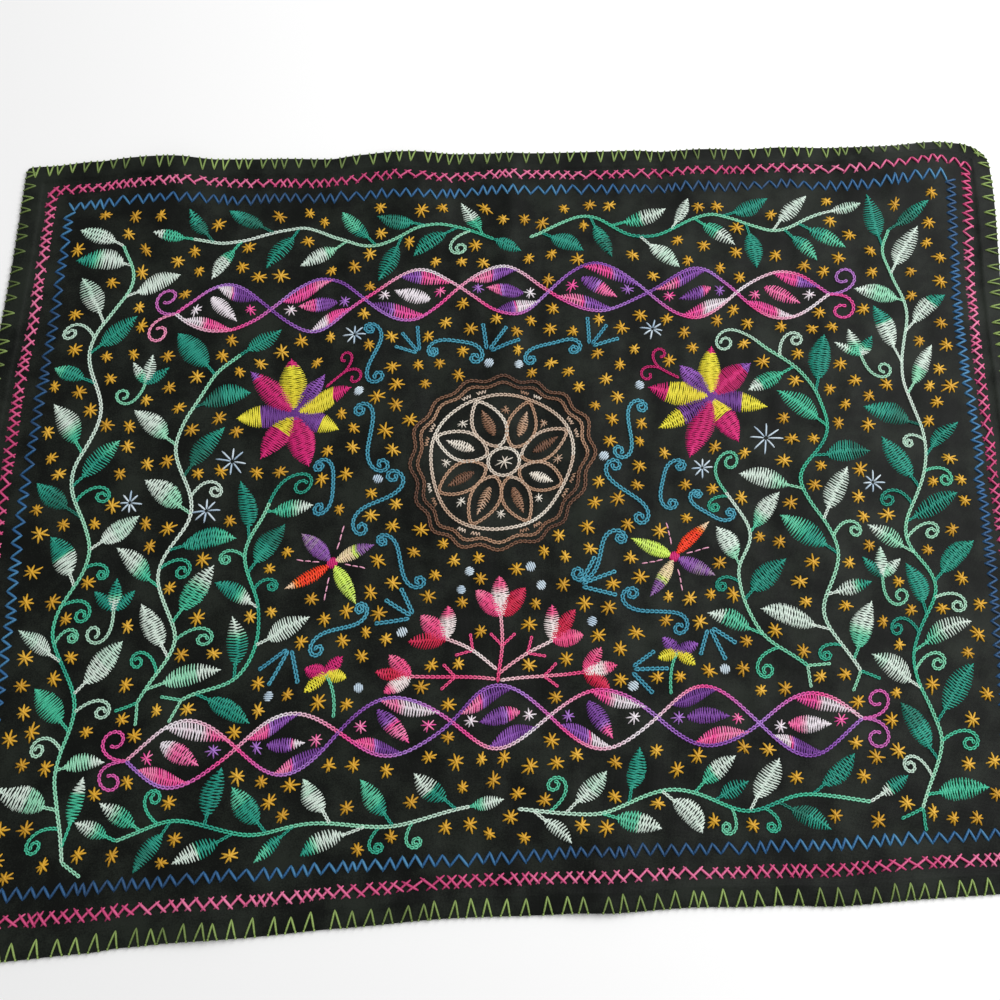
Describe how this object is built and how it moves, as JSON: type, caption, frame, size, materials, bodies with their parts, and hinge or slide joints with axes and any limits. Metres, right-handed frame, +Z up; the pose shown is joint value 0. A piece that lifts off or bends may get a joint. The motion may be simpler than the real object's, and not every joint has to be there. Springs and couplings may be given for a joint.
{
  "type": "otomi embroidered cloth",
  "caption": "Dark rectangular cotton cloth with a turned hem, edge stitches, two stitched border lines and a field of satin, chain and star stitch motifs, lying flat.",
  "frame": {"origin": "on the surface the cloth lies on, under the middle of its outline", "axes": "+X along the long side, left to right in the picture; +Y from the near edge to the far edge; +Z up"},
  "size_m": [0.83, 0.6235, 0.0102],
  "materials": {
    "dark_cotton": "matt near-black plain-weave cotton",
    "lime_thread": "soft cotton embroidery thread with a faint sheen",
    "rose_thread": "soft cotton embroidery thread with a faint sheen",
    "navy_thread": "soft cotton embroidery thread with a faint sheen",
    "orange_thread": "soft cotton embroidery thread with a faint sheen",
    "leaf_thread": "soft cotton embroidery thread with a faint sheen",
    "violet_thread": "soft cotton embroidery thread with a faint sheen",
    "magenta_thread": "soft cotton embroidery thread with a faint sheen",
    "yellow_thread": "soft cotton embroidery thread with a faint sheen",
    "flame_thread": "soft cotton embroidery thread with a faint sheen",
    "sky_thread": "soft cotton embroidery thread with a faint sheen",
    "ice_thread": "soft cotton embroidery thread with a faint sheen",
    "brown_thread": "soft cotton embroidery thread with a faint sheen",
    "crimson_thread": "soft cotton embroidery thread with a faint sheen"
  },
  "bodies": {
    "root": {"cloth": "dark_cotton"}
  },
  "joints": []
}
